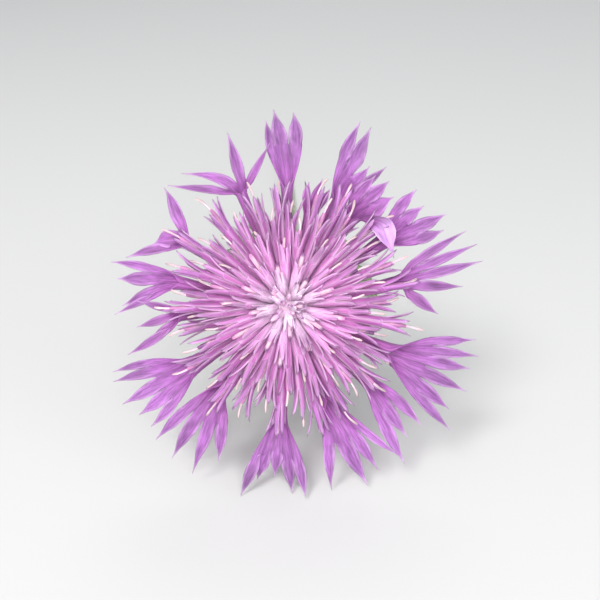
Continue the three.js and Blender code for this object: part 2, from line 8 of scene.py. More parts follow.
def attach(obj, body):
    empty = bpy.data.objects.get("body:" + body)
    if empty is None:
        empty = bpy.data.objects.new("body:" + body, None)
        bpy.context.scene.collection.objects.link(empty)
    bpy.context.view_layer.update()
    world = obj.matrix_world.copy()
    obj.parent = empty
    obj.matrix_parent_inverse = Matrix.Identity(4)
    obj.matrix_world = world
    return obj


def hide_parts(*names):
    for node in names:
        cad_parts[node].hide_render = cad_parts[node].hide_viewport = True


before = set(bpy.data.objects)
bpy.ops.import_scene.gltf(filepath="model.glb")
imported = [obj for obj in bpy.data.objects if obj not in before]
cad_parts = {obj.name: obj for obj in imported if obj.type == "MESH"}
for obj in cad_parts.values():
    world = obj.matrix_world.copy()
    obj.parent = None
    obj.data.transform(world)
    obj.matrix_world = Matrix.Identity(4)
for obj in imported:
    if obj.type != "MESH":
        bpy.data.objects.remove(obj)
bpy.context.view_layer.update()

# Pose and driving dimensions in millimetres and degrees. They are the same as the solids', but the
# florets' tubes and blades are thinner.
FACE_TILT = 25  # how far the head's axis rises above the surface
MOUTH_HEIGHT = 21.6  # height of the middle of the involucre's mouth
LOBE_CLEARANCE = 0.07  # a lobe's middle stays this high, so that its edge rests on the surface
MIDDLE = (1.21, 3.39)  # of the whole flower, from where the stem first meets the surface
STEM_RADIUS = 1.15
NECK_RADIUS = 1.55
NECK_STRAIGHT = 4
STEM_LYING = 95  # the length that lies along the surface
STEM_SWAY = -4.2  # how far the lying stem has turned aside at its cut end
STEM_BOW = 1.2  # 1 for a straight turn aside, more for a bowed one
STEM_GROOVE = 0.86  # radius at a groove, as a share of the radius at a rib
STEM_FLAT = 22  # half the angle between the two ribs that the stem lies on
INVOLUCRE_LENGTH = 15
INVOLUCRE_RADIUS = 6.4
MOUTH_RADIUS = 5.3
PIT_DEPTH = 2.8  # the florets stand in a pit in the involucre's mouth
RING_RADII = (3.95, 4.75)  # of the ring that carries the ray florets
DISC_RADIUS = 3.6
GAP = 0.3  # between pieces that touch
RAY_BASE_RADIUS = 4.35
RAY_TUBE = (0.3, 0.48, 0.78)  # radius at the base, the middle and the throat
RAY_THROAT_HALF = 0.9  # half the width over which the lobes start, at a throat of girth 1
DISC_COUNT = 80
DISC_TUBE = (0.3, 0.48, 0.66)  # radius at the base, the middle and the throat
GOLDEN_ANGLE = 137.508
ROD_LENGTH = 5.6  # anther tube and style, out of a disc floret's throat
# y is how far down the lying stem a leaf stands, and turn how far it points away from the stem, in
# degrees, first and last.
LEAVES = (
    {"name": "leaf_1", "y": 5, "side": 1, "length": 34, "turn": (18, 32)},
    {"name": "leaf_2", "y": 15, "side": -1, "length": 36, "turn": (16, 26)},
)

TILT_SIN = math.sin(math.radians(FACE_TILT))
TILT_COS = math.cos(math.radians(FACE_TILT))
STEM_FLOOR = STEM_RADIUS * math.cos(math.radians(STEM_FLAT))
NECK_BACK = INVOLUCRE_LENGTH + GAP + NECK_STRAIGHT
ARC_RADIUS = (MOUTH_HEIGHT - NECK_BACK * TILT_SIN - STEM_FLOOR) / (1 - TILT_COS)
MOUTH_Y = -ARC_RADIUS * TILT_SIN - NECK_BACK * TILT_COS
FLOOR_CLEARANCE = 0.00001  # metres
UP = np.array([0.0, 0.0, 1.0])

RAY_SEED = 7
DISC_SEED = 61
DETAIL_SEED = 5
BRACT_SEED = 3
HAIR_SEED = 11

# First numbers in the grain, which keep the parts' streaks apart; ray florets and bracts count from 0
CUP_GRAIN = 97
CORE_GRAIN = 98
RING_GRAIN = 99
DISC_GRAIN = 200
STEM_GRAIN = 300
LEAF_GRAIN = 400
BUD_GRAIN = 500

# Ray florets: direction, radius and height of the throat, the share of the fan that stays joined, the
# girth of the throat, then each lobe's tip direction, reach, height, sideways bow, roll and width
RAY_FLORETS = (
    (12.6, 15.5, 4.3, 0.26, 0.95, (
        (-3, 20, 2.6, -0.8, -20, 1.7), (6.4, 24.1, 3.4, -0.4, 0, 1.5), (13.1, 27, 3.9, 0, 0, 1.6),
        (18.2, 26.7, 4.6, 0.3, 0, 1.5), (23.3, 25.8, 5.4, 0.6, 20, 1.5))),
    (34.2, 15.8, 3.5, 0.5, 1.3, (
        (25.9, 23.3, 3.4, -0.5, -15, 1.8), (30, 24.7, 4.2, 0, 0, 1.9), (36.5, 22.6, 5, 0.2, 0, 1.8),
        (42.2, 23.2, 5.4, 0.6, 15, 1.8))),
    (54, 14.9, 4, 0.46, 1.2, (
        (24, 15.3, 7.8, 1.4, -30, 2.9), (46, 20.4, 5, 0, -10, 1.8), (50.7, 21.5, 5.4, 0, 0, 2.2),
        (56, 21, 5, 0.3, 10, 1.7))),
    (65.5, 15.8, 3.4, 0.48, 1, (
        (55, 23, 4.2, -0.6, -20, 1.3), (59.6, 21.7, 4.6, -0.3, 0, 1.5), (65, 26.7, 3.8, 0, 0, 1.9),
        (68.6, 26.6, 4.8, 0.9, 15, 2.1))),
    (77, 12.6, 4.4, 0.36, 0.8, (
        (70, 16.6, 5.6, -0.3, 0, 1.2), (75, 17.6, 5.8, 0, 0, 1.3), (80, 16.8, 5.6, 0.3, 0, 1.2))),
    (90.5, 15.7, 4, 0.58, 0.9, (
        (88.5, 26.2, 4, -1.2, -15, 2), (94.1, 26.5, 3.4, 0, 5, 1.9), (97, 25.2, 4.4, 0.3, 25, 1.6))),
    (112.5, 17.1, 3.2, 0.24, 0.9, (
        (96.5, 21.6, 6.4, -0.8, -10, 0.9), (109.4, 24.8, 4.4, -0.3, 0, 1.7), (129, 23.2, 3.6, -2.4, 15, 1.5),
        (135.8, 22.7, 4.8, 0.5, 25, 1))),
    (148, 16.4, 4.4, 0.36, 1, (
        (136.2, 22.8, 4.2, -0.7, -20, 1.4), (155, 19.6, 4, -0.2, 5, 2.4), (163.4, 22.5, 4.6, -0.6, 20, 1.5))),
    (168, 15.4, 3.3, 0.44, 1.1, (
        (166, 24.6, 4.6, -0.6, -20, 1.2), (171, 23.5, 3.6, 0, 0, 2.2), (180, 22.4, 3.2, -0.4, 10, 1.4),
        (183.5, 23.2, 4, -0.8, 20, 1.2))),
    (185, 15, 4.5, 0.22, 0.9, (
        (178, 20, 5.4, 0, -20, 1.2), (188, 20.6, 4.2, 0.3, 0, 1.3), (195.4, 19.6, 3.2, 0.6, 10, 1.5),
        (196.9, 22.6, 3.6, 0.9, 15, 1.5))),
    (212, 15.1, 3.4, 0.5, 1.5, (
        (200.6, 25.1, 4.8, -0.9, -20, 1.2), (203.4, 25.8, 4, -0.5, -10, 1.2), (210.7, 26.1, 3.2, 0, 0, 1.6),
        (216.3, 25.1, 3.4, 0.2, 0, 1.9), (221.4, 24.6, 4.4, 0.6, 15, 1.7))),
    (231, 13.9, 4.2, 0.44, 1.15, (
        (225.4, 25.6, 3, -0.6, -10, 1.6), (232.6, 26, 3.4, -0.2, 0, 1.8), (240.5, 26.4, 3, 0, 0, 1.2),
        (245.7, 23, 4.4, 0.6, 15, 1.7))),
    (266, 15, 3.4, 0.56, 1.05, (
        (256, 26.4, 3.9, -0.3, -10, 1.8), (259.9, 24, 3.2, -0.1, 0, 2.1), (265.5, 23.2, 3.4, 0, 0, 1.6),
        (271.4, 25.3, 3.2, 0, 0, 1.7), (275.5, 25.9, 4.2, 0.4, 15, 1.6))),
    (293, 13.9, 4.4, 0.46, 1.2, (
        (283.4, 25.8, 3.2, -0.5, -15, 1.2), (293.6, 26.5, 2.2, 0, 0, 2), (299, 25.1, 3.2, 0.2, 0, 1.8),
        (307, 25, 4.6, -0.7, 20, 1.1))),
    (316.5, 15.1, 3.3, 0.42, 1.1, (
        (306.5, 26.7, 3.4, -0.5, -15, 1.8), (312.3, 23.9, 3.2, -0.2, 0, 1.8),
        (318.6, 24.2, 4.2, 0.3, 15, 1.7))),
    (335.3, 15.2, 4.4, 0.46, 1.6, (
        (322.6, 27.7, 3.6, -0.6, -20, 1.5), (327.4, 26.2, 3.2, -0.3, 0, 1.7), (334.5, 26.6, 3.4, 0, 0, 1.6),
        (341, 26, 4, 0.1, 0, 1.9), (345.3, 26.6, 4.6, 0.5, 10, 1.3), (349.4, 25.6, 5.4, 1, 25, 1.4))),
)


def seeded_draws(seed):
    """A function that gives the next of a fixed row of draws between 0 and 1"""
    state = [seed]

    def draw():
        state[0] = (state[0] * 1664525 + 1013904223) & 0xFFFFFFFF
        return state[0] / 4294967296

    return draw


def srgb(red, green, blue):
    """A colour given as on a screen, 0 to 255, as the linear values that the shaders use"""
    shares = np.array([red, green, blue]) / 255
    return np.where(shares <= 0.04045, shares / 12.92, ((shares + 0.055) / 1.055) ** 2.4)


def mix(a, b, share):
    return a + (b - a) * share


def ease(x):
    """A smooth step from 0 at 0 to 1 at 1"""
    x = min(max(x, 0), 1)
    return x * x * (3 - 2 * x)


def ramp(stops, x):
    """The value at x between (position, value) stops"""
    if x <= stops[0][0]:
        return stops[0][1]
    for (x0, a), (x1, b) in zip(stops, stops[1:]):
        if x <= x1:
            return mix(a, b, (x - x0) / (x1 - x0))
    return stops[-1][1]


def unit(v):
    return v / math.sqrt(v @ v)


def square_to(tangent, side):
    """Two directions square to a tangent and to each other, the first as near to side as it can be"""
    across = unit(side - tangent * (side @ tangent))
    return across, np.cross(tangent, across)


def turned_about(v, axis, angle):
    """v turned about a unit axis, in degrees"""
    a = math.radians(angle)
    return v * math.cos(a) + np.cross(axis, v) * math.sin(a) + axis * (axis @ v) * (1 - math.cos(a))


def head_point(direction, reach, height):
    """A point of the head, whose axis is Z from the involucre's mouth"""
    a = math.radians(direction)
    return np.array([reach * math.cos(a), reach * math.sin(a), height])


def bezier(points, t):
    points = list(points)
    while len(points) > 1:
        points = [mix(a, b, t) for a, b in zip(points, points[1:])]
    return points[0]


def bezier_tangent(points, t):
    legs = [b - a for a, b in zip(points, points[1:])]
    return unit(bezier(legs, t))


def tube_radius(radii, share):
    """Slender as far as the middle radius, then opening into the throat"""
    if share < 0.6:
        return mix(radii[0], radii[1], share / 0.6)
    return mix(radii[1], radii[2], ((share - 0.6) / 0.4) ** 1.5)


def keep_off_floor(point):
    """A point of the head, raised along the head's axis where it would lie under the surface"""
    height = point[1] * TILT_COS + point[2] * TILT_SIN + MOUTH_HEIGHT
    if height >= LOBE_CLEARANCE:
        return point
    return point + np.array([0, 0, (LOBE_CLEARANCE - height) / TILT_SIN])


def place_head(points):
    """Points of the head, in its own frame and millimetres, in the part's frame and metres"""
    x, y, z = points.T
    placed = np.array([x, y * TILT_SIN - z * TILT_COS + MOUTH_Y, y * TILT_COS + z * TILT_SIN + MOUTH_HEIGHT])
    return place_flat(placed.T)


def place_flat(points):
    """Points beside or on the lying stem, in millimetres, in the part's frame and metres"""
    placed = (points - np.array([MIDDLE[0], MIDDLE[1], 0])) / 1000
    placed[:, 2] = np.maximum(placed[:, 2], FLOOR_CLEARANCE)
    return placed


class Skin:
    """Points, faces, a tint for each point, and its place in the grain: across, along and a number"""

    def __init__(self):
        self.points, self.faces, self.tints, self.grains = [], [], [], []

    def add(self, points, faces, tints, grains):
        first = len(self.points)
        self.points.extend(points)
        self.tints.extend(tints)
        self.grains.extend(grains)
        self.faces.extend(tuple(i + first for i in face) for face in faces)

    def make(self, name, place, material):
        mesh = bpy.data.meshes.new(name)
        mesh.from_pydata(place(np.array(self.points, float)).tolist(), [], self.faces)
        tint = mesh.color_attributes.new("tint", "FLOAT_COLOR", "POINT")
        colours = np.ones((len(self.points), 4), np.float32)
        colours[:, :3] = np.array(self.tints)
        tint.data.foreach_set("color", colours.ravel())
        grain = mesh.attributes.new("grain", "FLOAT_VECTOR", "POINT")
        grain.data.foreach_set("vector", np.array(self.grains, np.float32).ravel())
        mesh.shade_smooth()
        mesh.materials.append(material)
        piece = bpy.data.objects.new(name, mesh)
        bpy.context.scene.collection.objects.link(piece)
        return piece


class Sheet:
    """A thin sheet, made into a closed skin with a wall along its edges"""

    def __init__(self):
        self.points, self.halves, self.tints, self.unders, self.grains, self.faces = [], [], [], [], [], []
        self.row = []

    def point(self, position, thickness, tint, grain, under=None):
        self.points.append(position)
        self.halves.append(thickness / 2)
        self.tints.append(tint)
        self.unders.append(tint if under is None else under)
        self.grains.append(grain)
        return len(self.points) - 1

    def follow(self, row):
        """Joins a row of points to the row before it"""
        for j in range(len(self.row) - 1):
            self.faces.append((self.row[j], row[j], row[j + 1], self.row[j + 1]))
        self.row = row

    def close(self, tip):
        """Joins the last row of points to a tip"""
        for j in range(len(self.row) - 1):
            self.faces.append((self.row[j], tip, self.row[j + 1]))

    def into(self, skin):
        points = np.array(self.points)
        normals = np.zeros_like(points)
        for face in self.faces:
            corners = points[list(face)]
            if len(face) == 4:
                normal = np.cross(corners[2] - corners[0], corners[3] - corners[1])
            else:
                normal = np.cross(corners[1] - corners[0], corners[2] - corners[0])
            for i in face:
                normals[i] += normal
        normals /= np.maximum(np.linalg.norm(normals, axis=1), 1e-9)[:, None]
        offsets = normals * np.array(self.halves)[:, None]
        count = len(points)
        faces = list(self.faces)
        directed = set()
        for face in self.faces:
            faces.append(tuple(i + count for i in reversed(face)))
            directed.update(zip(face, face[1:] + face[:1]))
        for a, b in sorted(directed):
            if (b, a) not in directed:
                faces.append((b, a, a + count, b + count))
        skin.add(
            list(points + offsets) + list(points - offsets),
            faces,
            self.tints + self.unders,
            self.grains + self.grains,
        )


def ring_faces(rings, sides):
    """Four-sided faces between rings of points that follow one another"""
    faces = []
    for i in range(rings - 1):
        for k in range(sides):
            n = (k + 1) % sides
            faces.append((i * sides + k, i * sides + n, (i + 1) * sides + n, (i + 1) * sides + k))
    return faces


def add_tube(skin, centres, radii, sides, tints, side, number):
    """A closed tube along centres, with its rings turned so that side lies in each of them"""
    points, colours, grains = [], [], []
    count = len(centres)
    along = 0
    for i in range(count):
        tangent = unit(centres[min(i + 1, count - 1)] - centres[max(i - 1, 0)])
        across, up = square_to(tangent, side)
        if i:
            along += np.linalg.norm(centres[i] - centres[i - 1])
        for k in range(sides):
            angle = 2 * math.pi * k / sides
            points.append(centres[i] + radii[i] * (across * math.cos(angle) + up * math.sin(angle)))
            colours.append(tints[i])
            grains.append((6 * radii[i] * k / sides, along, number))
    faces = ring_faces(count, sides)
    faces.append(tuple(reversed(range(sides))))
    faces.append(tuple(range((count - 1) * sides, count * sides)))
    skin.add(points, faces, colours, grains)


# Sides of what is turned round the head's axis
HEAD_SEGMENTS = 48
DISC_SEGMENTS = 32


def add_turned(skin, profile, segments, tints, number):
    """A body turned round the head's axis, from (radius, height) points that start and end on the axis"""
    points, faces, colours, grains = [], [], [], []
    rings = []
    for (radius, height), tint in zip(profile, tints):
        first = len(points)
        steps = 1 if radius == 0 else segments
        for k in range(steps):
            points.append(head_point(360 * k / segments, radius, height))
            colours.append(tint)
            grains.append((2 * math.pi * radius * k / segments, height, number))
        rings.append((first, steps))
    for (a, a_steps), (b, b_steps) in zip(rings, rings[1:]):
        for k in range(segments):
            n = (k + 1) % segments
            if a_steps == 1:
                faces.append((a, b + n, b + k))
            elif b_steps == 1:
                faces.append((a + k, a + n, b))
            else:
                faces.append((a + k, a + n, b + n, b + k))
    skin.add(points, faces, colours, grains)


# Colours of the florets, from the base outward
RAY_TINTS = [
    (0, srgb(243, 208, 238)), (5, srgb(230, 182, 222)), (8.5, srgb(206, 134, 195)), (12, srgb(184, 102, 177)),
    (15, srgb(180, 105, 182)), (19, srgb(173, 106, 182)), (27, srgb(152, 100, 166)),
]
RAY_TIP = srgb(222, 196, 226)
RAY_BASE = srgb(232, 222, 200)
RAY_EDGE = srgb(232, 192, 238)
RAY_TURNED = srgb(226, 178, 240)  # the paler side of a lobe that turns back over the head
RAY_NOTCH_SHADE = 0.74  # painted shade: how dark the lines are that run down to the notches between the lobes


def tint_at(point, tints):
    """The colour at a point of the head, by its distance from the head's axis"""
    return ramp(tints, math.hypot(point[0], point[1]))


LOBE_RISE = 0.9
TURNED_RISE = 6.5  # a lobe that turns back over the head rises above the disc florets


def lobe_lines(lobes, throat, out, side, throat_half):
    """The middle line of each lobe, as the start, control point and tip of a curve"""
    count = len(lobes)
    lines = []
    for k, (direction, reach, height, bow, _, _) in enumerate(lobes):
        start = throat + side * throat_half * ((2 * k + 1) / count - 1)
        tip = keep_off_floor(head_point(direction, reach, height))
        span = tip - throat
        control = start + out * max(0.5 * (span @ out), 2.6) + side * (0.36 * (span @ side) + bow)
        control[2] += LOBE_RISE if span @ out > 0 else TURNED_RISE
        lines.append((start, control, tip))
    return lines


def lobe_frame(line, share, roll):
    """The directions across a lobe and out of its face"""
    along = bezier_tangent(line, share)
    side = unit(np.cross(UP, along))
    face = np.cross(along, side)
    turn = roll * share * share
    return turned_about(side, along, turn), turned_about(face, along, turn)


COLUMNS = (-1, -0.55, 0, 0.55, 1)  # places across a lobe
LAST = len(COLUMNS) - 1
THROAT_SHARE = 0.97  # of a ray floret's path, where its tube opens
TUBE_ROWS = (0, 0.1, 0.2, 0.3, 0.4, 0.5, 0.6, 0.7, 0.79, 0.88, THROAT_SHARE)
JOINED_ROWS = (0.08, 0.17, 0.27, 0.38, 0.5, 0.65, 0.82, 1)  # shares of the part where the lobes are joined
LOBE_ROWS = (0.06, 0.13, 0.21, 0.3, 0.4, 0.5, 0.6, 0.7, 0.79, 0.87, 0.93, 0.97)  # shares of a free lobe
TUBE_TURN = 179  # half the turn of the sheet round a tube, which leaves a slit
JOINED_TURN = 120  # the same where the tube has opened
RAY_THICKNESS = 0.2
LOBE_FULLNESS = 1.22
LOBE_SLIMMING = 0.42  # how much a lobe loses of its width towards its tip
LOBE_HOLLOW = 0.55  # how far a lobe's edges rise, as a share of half its width
LOBE_WAVE = 0.2
GRAIN_WIDTH = 1.7  # a lobe's width in the grain
GRAIN_LENGTH = 20  # a middle line's length in the grain


def ray_corolla(skin, lobes, joined, girth, path, number, draw):
    """The corolla of a ray floret: a tube that opens along its upper side into joined lobes, which part
    at the notches"""
    throat, out = bezier(path, THROAT_SHARE), bezier_tangent(path, 1)
    side = unit(np.cross(UP, out))
    lines = lobe_lines(lobes, throat, out, side, RAY_THROAT_HALF * girth)
    radii = (RAY_TUBE[0], RAY_TUBE[1] * math.sqrt(girth), RAY_TUBE[2] * girth)
    count = len(lobes)
    sheet = Sheet()
    shade = 0.9 + 0.18 * draw()

    def add_row(points, share, spread):
        row = []
        for i, point in enumerate(points):
            position = i / (len(points) - 1)
            edge = abs(2 * position - 1)
            tint = tint_at(point, RAY_TINTS) * shade
            tint = mix(tint, tint * 1.1, edge**4 * spread)
            # Painted shade in the crease that runs down to each notch between the lobes
            if i % LAST == 0 and edge < 1:
                tint = tint * mix(1, RAY_NOTCH_SHADE, min(1, 3 * spread))
            thickness = RAY_THICKNESS * (1 - 0.4 * edge**6 * spread)
            grain = (GRAIN_WIDTH * position * count, GRAIN_LENGTH * share, number)
            row.append(sheet.point(point, thickness, tint, grain))
        sheet.follow(row)

    def ring(centre, tangent, radius, half_turn):
        across, up = square_to(tangent, side)
        points = []
        for i in range(count * LAST + 1):
            angle = math.radians(half_turn * (2 * i / (count * LAST) - 1))
            points.append(centre + across * radius * math.sin(angle) - up * radius * math.cos(angle))
        return points

    for share in TUBE_ROWS:
        points = ring(bezier(path, share), bezier_tangent(path, share), tube_radius(radii, share), TUBE_TURN)
        add_row(points, share - THROAT_SHARE, 0)
    for spread in JOINED_ROWS:
        share = joined * spread
        opened = ease(0.15 + 0.85 * spread) * 0.96
        middles = [bezier(line, share) for line in lines]
        frames = [lobe_frame(line, share, 0) for line in lines]
        edge = mix(RAY_THROAT_HALF * girth / count, 0.36 * lobes[0][5], spread)
        ends = [middles[0] - frames[0][0] * edge]
        for k in range(count - 1):
            between = (middles[k] + middles[k + 1]) / 2
            between[2] += 0.2 * spread
            ends.append(between)
        ends.append(middles[-1] + frames[-1][0] * edge)
        centre = sum(middles) / count
        axis = throat + out * ((centre - throat) @ out)
        turn = mix(TUBE_TURN, JOINED_TURN, ease(2 * spread))
        rolled = ring(axis, out, radii[2] * (1 + 0.9 * spread), turn)
        points = []
        for i, curled in enumerate(rolled):
            k = min(i // LAST, count - 1)
            c = COLUMNS[i - k * LAST]
            flat = mix(middles[k], ends[k] if c < 0 else ends[k + 1], abs(c))
            points.append(mix(curled, flat, opened))
        add_row(points, share, spread)
    rim = sheet.row
    for k, (line, entry) in enumerate(zip(lines, lobes)):
        root = rim[k * LAST : (k + 1) * LAST + 1]
        ray_lobe(sheet, line, entry, joined, root, k, number, shade, draw)
    sheet.into(skin)


def ray_lobe(sheet, line, entry, joined, root, k, number, shade, draw):
    """The free part of a lobe, from its root in the joined part to its tip"""
    roll, width = entry[4:]
    middle = sheet.points[root[LAST // 2]]
    halves = [np.linalg.norm(sheet.points[i] - middle) for i in (root[0], root[-1])]
    carried = middle - bezier(line, joined)
    left = [sheet.points[i] - middle for i in root]
    wave, twist, curl = draw(), 34 * (draw() - 0.5), 1.3 * (draw() - 0.42)
    own_shade = 0.78 + 0.36 * draw()
    turned_back = np.linalg.norm(line[2][:2]) < np.linalg.norm(line[1][:2])
    length = np.linalg.norm(line[2] - line[0])
    sheet.row = root
    for u in LOBE_ROWS:
        share = mix(joined, 1, u)
        side, face = lobe_frame(line, share, roll)
        along = np.cross(side, face)
        side, face = turned_about(side, along, twist * u), turned_about(face, along, twist * u)
        centre = bezier(line, share) + carried * (1 - u) ** 2 + face * curl * u * u
        row = []
        for j, c in enumerate(COLUMNS):
            root_half = halves[0] if c < 0 else halves[1]
            half = (1 - u) ** 2 * root_half + LOBE_FULLNESS * u * (1 - u) ** 1.1 * width
            half *= 1 - LOBE_SLIMMING * ease((u - 0.5) / 0.38)
            lift = LOBE_HOLLOW * half * c * c + LOBE_WAVE * half * c * math.sin(6.3 * (1.2 * u + wave))
            point = centre + side * c * half + face * lift
            blend = ease(1 - u / 0.3)
            point = mix(point, centre + left[j] * (1 - u), blend * blend)
            tint = tint_at(point, RAY_TINTS) * shade * mix(1, own_shade, ease(u / 0.4))
            if turned_back:
                tint = mix(tint, RAY_TURNED, 0.75 * ease(u / 0.3))
            tint = mix(tint, RAY_TIP * shade, ease((u - 0.72) / 0.25) * 0.7)
            tint = mix(tint, RAY_EDGE, 0.36 * abs(c) ** 3 * ease(u / 0.15))
            grain = (GRAIN_WIDTH * (k + (c + 1) / 2), GRAIN_LENGTH * joined + u * length, number)
            thickness = RAY_THICKNESS * (1 - 0.35 * abs(c) - 0.3 * u)
            row.append(sheet.point(keep_off_floor(point), thickness, tint, grain))
        sheet.follow(row)
    tip = keep_off_floor(line[2] + lobe_frame(line, 1, roll)[1] * curl)
    grain = (GRAIN_WIDTH * (k + 0.5), GRAIN_LENGTH * joined + length, number)
    sheet.close(sheet.point(tip, RAY_THICKNESS / 2, RAY_TIP * shade, grain))


def ray_florets():
    skin = Skin()
    draw = seeded_draws(RAY_SEED)
    for number, (direction, reach, height, joined, girth, lobes) in enumerate(RAY_FLORETS):
        path = [
            head_point(direction, RAY_BASE_RADIUS, -1.6),
            head_point(direction, RAY_BASE_RADIUS, 4.4),
            head_point(direction, 8.5, 4.5),
            head_point(direction, reach, height),
        ]
        ray_corolla(skin, lobes, joined, girth, path, number, draw)
    inner, outer = RING_RADII
    low = -PIT_DEPTH + GAP
    crest = ((inner + outer) / 2, -0.7)
    profile = [(inner, low), (outer, low), (outer, -0.8), crest, (inner, -0.8), (inner, low)]
    add_turned(skin, profile, HEAD_SEGMENTS, [RAY_BASE] * len(profile), RING_GRAIN)
    return skin


# Colours of the disc florets, by the distance from the axis
DISC_TINTS = [
    (0, srgb(255, 246, 255)), (2.5, srgb(255, 238, 255)), (5, srgb(232, 174, 227)), (8, srgb(206, 135, 200)),
    (11, srgb(189, 118, 186)), (15, srgb(187, 115, 192)),
]
ANTHER = srgb(244, 196, 222)
ANTHER_END = srgb(226, 156, 212)
STYLE = srgb(252, 226, 238)
STYLE_END = srgb(230, 208, 208)
DARK_END = srgb(134, 82, 142)
# Pale pink: the buds' own colour; on the disc florets' ribs and lobe edges it is painted highlight
PALE_RIB = srgb(255, 226, 250)
DISC_FOOT = srgb(255, 222, 246)
FURROW = np.array([0.98, 0.8, 0.92])  # painted shade, multiplied into a disc floret's colour between its ribs

# The feet of the disc florets stand so close that they are one mass up to this outline.
DISC_CORE = [(DISC_RADIUS, 0.2), (3.7, 1.4), (4.1, 3.2), (4.0, 4.6), (3.4, 5.9), (2.0, 6.9), (0, 7.3)]

DISC_ROWS = (0, 0.13, 0.25, 0.36, 0.46, 0.56, 0.66, 0.76, 0.86, 0.94, 1)
DISC_LOBE_ROWS = (0.14, 0.3, 0.48, 0.66, 0.83)
DISC_LOBES = 5
LOBE_COLUMNS = 3
HALF_LOBE = 36  # half the angle that a lobe takes round the throat
DISC_THICKNESS = 0.13
YOUNG = 0.45  # florets nearer the middle of the disc than this share hold their styles in
ROD_ROWS = (0, 0.2, 0.4, 0.6, 0.7, 0.8, 0.87, 0.92, 0.97, 1)
STYLE_RADII = (0.13, 0.13, 0.13, 0.13, 0.135, 0.15, 0.18, 0.15, 0.1)
BUD_COUNT = 18
BUD_ROWS = (0, 0.3, 0.5, 0.68, 0.82, 0.92, 1)
BUD_RADII = (0.3, 0.33, 0.34, 0.31, 0.24, 0.16, 0.07)
BUD_DARKNESS = (0, 0, 0, 0, 0.1, 0.6, 0.9)


def disc_floret(skin, number, q, direction, reach, height, rod, turn, draw):
    """One disc floret; q is its place, from 0 in the middle of the disc to 1 at its edge"""
    base = (DISC_RADIUS - 0.4) * q
    path = [
        head_point(direction, base, -1),
        head_point(direction, 1.05 * base, 7.0 + 0.9 * q),
        head_point(direction, reach, height),
    ]
    side = head_point(direction + 90, 1, 0)
    out = bezier_tangent(path, 1)
    up = np.cross(out, side)
    disc_corolla(skin, number, path, out, side, q, turn, draw)
    disc_rod(skin, number, path, out, side, up, q, rod, draw)


def disc_corolla(skin, number, path, out, side, q, turn, draw):
    """A thin ribbed tube that parts into five narrow lobes round its throat"""
    shade = 0.86 + 0.24 * draw()
    # Painted highlight: how far the ribs and the lobes' edges are paled towards PALE_RIB
    pale = 0.15 + 0.4 * draw()
    sheet = Sheet()
    sides = DISC_LOBES * LOBE_COLUMNS
    for share in DISC_ROWS:
        centre, tangent = bezier(path, share), bezier_tangent(path, share)
        above = np.cross(tangent, side)
        radius = tube_radius(DISC_TUBE, share)
        row = []
        for j in range(sides):
            angle = 2 * math.pi * j / sides
            ribbed = radius * (1 + 0.05 * math.cos(DISC_LOBES * angle))
            a = angle + math.radians(turn)
            point = centre + ribbed * (side * math.cos(a) + above * math.sin(a))
            tint = tint_at(point, DISC_TINTS) * shade
            if j % LOBE_COLUMNS == 0:
                tint = mix(tint, PALE_RIB, pale)
            else:
                # Painted shade: the valleys between the ribs are darker and more magenta, as shade falls
                # there
                tint = tint * mix(1, FURROW, min(1, 1.6 * q))
            row.append(sheet.point(point, DISC_THICKNESS, tint, (3 * angle * radius, 12 * share, number)))
        row.append(row[0])
        sheet.follow(row)
    rim = sheet.row
    above = np.cross(out, side)
    for k in range(DISC_LOBES):
        angle = math.radians(turn + 2 * HALF_LOBE * (k + 0.5))
        outward = side * math.cos(angle) + above * math.sin(angle)
        root = rim[k * LOBE_COLUMNS : (k + 1) * LOBE_COLUMNS + 1]
        disc_lobe(sheet, number, path[-1], out, outward, root, q, k, shade, pale, draw)
    sheet.into(skin)


def disc_lobe(sheet, number, end, out, outward, root, q, k, shade, pale, draw):
    length = (1.4 + 2.8 * q) * (0.75 + 0.5 * draw())
    across = np.cross(out, outward)
    spread = 0.05 + 0.36 * draw() * q
    lean = 0.3 * (draw() - 0.5)
    throat = DISC_TUBE[2]
    half_root = throat * math.sin(math.radians(HALF_LOBE))
    hollow = throat * (1 - math.cos(math.radians(HALF_LOBE)))
    sheet.row = root
    for u in DISC_LOBE_ROWS:
        centre = end + out * length * u + outward * (throat + spread * length * u**1.6)
        centre = centre + across * lean * length * u * u
        half = half_root * (1 - 0.55 * u**1.5)
        row = []
        for j in range(LOBE_COLUMNS + 1):
            c = 2 * j / LOBE_COLUMNS - 1
            point = centre + across * c * half - outward * hollow * c * c
            # Painted highlight on the lobe's edges, which carry on from the ribs
            tint = mix(tint_at(point, DISC_TINTS) * shade, PALE_RIB, pale * c * c)
            tint = mix(tint, RAY_TIP, 0.4 * ease((u - 0.5) / 0.5))
            grain = (0.9 * k + 0.4 * c, length * u + 12, number)
            row.append(sheet.point(point, DISC_THICKNESS, tint, grain))
        sheet.follow(row)
    tip = end + out * length + outward * (throat + spread * length) + across * lean * length
    tint = mix(RAY_TIP, tint_at(tip, DISC_TINTS), 0.4)
    sheet.close(sheet.point(tip, 0.08, tint, (0.9 * k, length + 12, number)))


